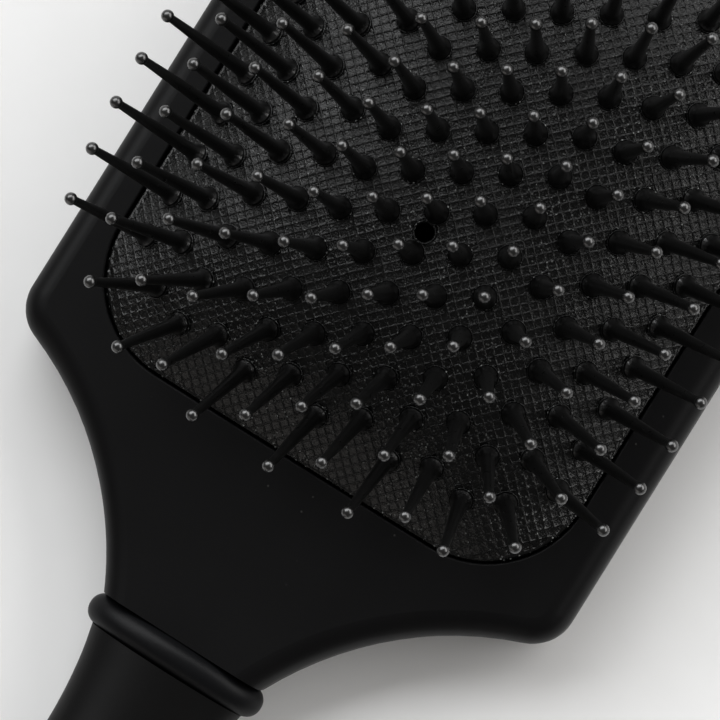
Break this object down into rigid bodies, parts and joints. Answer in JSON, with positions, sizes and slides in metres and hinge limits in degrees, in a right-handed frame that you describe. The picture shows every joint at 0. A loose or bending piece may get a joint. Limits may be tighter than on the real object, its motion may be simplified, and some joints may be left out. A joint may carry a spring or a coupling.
{
  "type": "paddle hair brush",
  "caption": "Flat paddle hair brush: an air cushion of ball-tipped pins in a rounded head, with a rolled neck ring and a sleeved handle.",
  "frame": {"origin": "middle of the overall length and width, on the plane of the head's flat back", "axes": "+X across the head, +Y from the handle's end to the head's tip, +Z the way the pins point"},
  "size_m": [0.0862, 0.246, 0.0431],
  "materials": {
    "soft_touch_head": "black moulded plastic with a soft-touch coat",
    "satin_ring": "black satin moulded plastic",
    "soft_touch_grip": "black soft-touch sleeve",
    "moulded_inner": "plain black moulding",
    "rubber_skin": "black rubber embossed with a fine raised net",
    "nylon_pins": "black nylon, polished at the ball"
  },
  "bodies": {
    "brush_body": {"head_body": "soft_touch_head", "neck_ring": "satin_ring", "grip_sleeve": "soft_touch_grip", "end_cap": "soft_touch_grip", "base_plate": "moulded_inner", "cushion_frame": "moulded_inner", "cushion": "rubber_skin"},
    "crown": {"pins_crown": "nylon_pins"},
    "edge_heel": {"pins_edge_heel": "nylon_pins"},
    "edge_left": {"pins_edge_left": "nylon_pins"},
    "edge_right": {"pins_edge_right": "nylon_pins"},
    "edge_tip": {"pins_edge_tip": "nylon_pins"},
    "inner": {"pins_inner": "nylon_pins"},
    "lower_heel": {"pins_lower_heel": "nylon_pins"},
    "lower_left": {"pins_lower_left": "nylon_pins"},
    "lower_right": {"pins_lower_right": "nylon_pins"},
    "lower_tip": {"pins_lower_tip": "nylon_pins"},
    "middle_heel": {"pins_middle_heel": "nylon_pins"},
    "middle_left": {"pins_middle_left": "nylon_pins"},
    "middle_right": {"pins_middle_right": "nylon_pins"},
    "middle_tip": {"pins_middle_tip": "nylon_pins"}
  },
  "joints": [
    {"name": "crown_press", "type": "slide", "parent": "brush_body", "child": "crown", "axis": [0, 0, -1], "range_m": [0, 0.004], "stiffness_N_per_m": 4000, "deforming": ["cushion"]},
    {"name": "edge_heel_sink", "type": "hinge", "parent": "brush_body", "child": "edge_heel", "pos_m": [0, 0.02016, 0.01685], "axis": [-1, 0, 0], "range_deg": [0, 9.46]},
    {"name": "edge_left_sink", "type": "hinge", "parent": "brush_body", "child": "edge_left", "pos_m": [-0.03748, 0.0695, 0.016], "axis": [0, 1, 0], "range_deg": [0, 10.9]},
    {"name": "edge_right_sink", "type": "hinge", "parent": "brush_body", "child": "edge_right", "pos_m": [0.03748, 0.0695, 0.016], "axis": [0, -1, 0], "range_deg": [0, 10.9]},
    {"name": "edge_tip_sink", "type": "hinge", "parent": "brush_body", "child": "edge_tip", "pos_m": [0, 0.11884, 0.01685], "axis": [1, 0, 0], "range_deg": [0, 9.46]},
    {"name": "inner_press", "type": "slide", "parent": "brush_body", "child": "inner", "axis": [0, 0, -1], "range_m": [0, 0.00364]},
    {"name": "lower_heel_sink", "type": "hinge", "parent": "brush_body", "child": "lower_heel", "pos_m": [0, 0.01774, 0.01799], "axis": [-1, 0, 0], "range_deg": [0, 7.83]},
    {"name": "lower_left_sink", "type": "hinge", "parent": "brush_body", "child": "lower_left", "pos_m": [-0.04088, 0.0695, 0.01809], "axis": [0, 1, 0], "range_deg": [0, 9.32]},
    {"name": "lower_right_sink", "type": "hinge", "parent": "brush_body", "child": "lower_right", "pos_m": [0.04088, 0.0695, 0.01809], "axis": [0, -1, 0], "range_deg": [0, 9.32]},
    {"name": "lower_tip_sink", "type": "hinge", "parent": "brush_body", "child": "lower_tip", "pos_m": [0, 0.12126, 0.01799], "axis": [1, 0, 0], "range_deg": [0, 7.83]},
    {"name": "middle_heel_sink", "type": "hinge", "parent": "brush_body", "child": "middle_heel", "pos_m": [0, 0.01178, 0.01948], "axis": [-1, 0, 0], "range_deg": [0, 6.52]},
    {"name": "middle_left_sink", "type": "hinge", "parent": "brush_body", "child": "middle_left", "pos_m": [-0.04826, 0.0695, 0.01982], "axis": [0, 1, 0], "range_deg": [0, 6.75]},
    {"name": "middle_right_sink", "type": "hinge", "parent": "brush_body", "child": "middle_right", "pos_m": [0.04826, 0.0695, 0.01982], "axis": [0, -1, 0], "range_deg": [0, 6.75]},
    {"name": "middle_tip_sink", "type": "hinge", "parent": "brush_body", "child": "middle_tip", "pos_m": [0, 0.12722, 0.01948], "axis": [1, 0, 0], "range_deg": [0, 6.52]}
  ],
  "couplings": [
    {"joint": "edge_heel_sink", "follows": "crown_press", "rad_per_m": 40.448},
    {"joint": "edge_left_sink", "follows": "crown_press", "rad_per_m": 46.649},
    {"joint": "edge_right_sink", "follows": "crown_press", "rad_per_m": 46.649},
    {"joint": "edge_tip_sink", "follows": "crown_press", "rad_per_m": 40.448},
    {"joint": "inner_press", "follows": "crown_press", "ratio": 0.89146},
    {"joint": "lower_heel_sink", "follows": "crown_press", "rad_per_m": 33.476},
    {"joint": "lower_left_sink", "follows": "crown_press", "rad_per_m": 39.866},
    {"joint": "lower_right_sink", "follows": "crown_press", "rad_per_m": 39.866},
    {"joint": "lower_tip_sink", "follows": "crown_press", "rad_per_m": 33.476},
    {"joint": "middle_heel_sink", "follows": "crown_press", "rad_per_m": 27.907},
    {"joint": "middle_left_sink", "follows": "crown_press", "rad_per_m": 28.863},
    {"joint": "middle_right_sink", "follows": "crown_press", "rad_per_m": 28.863},
    {"joint": "middle_tip_sink", "follows": "crown_press", "rad_per_m": 27.907}
  ]
}
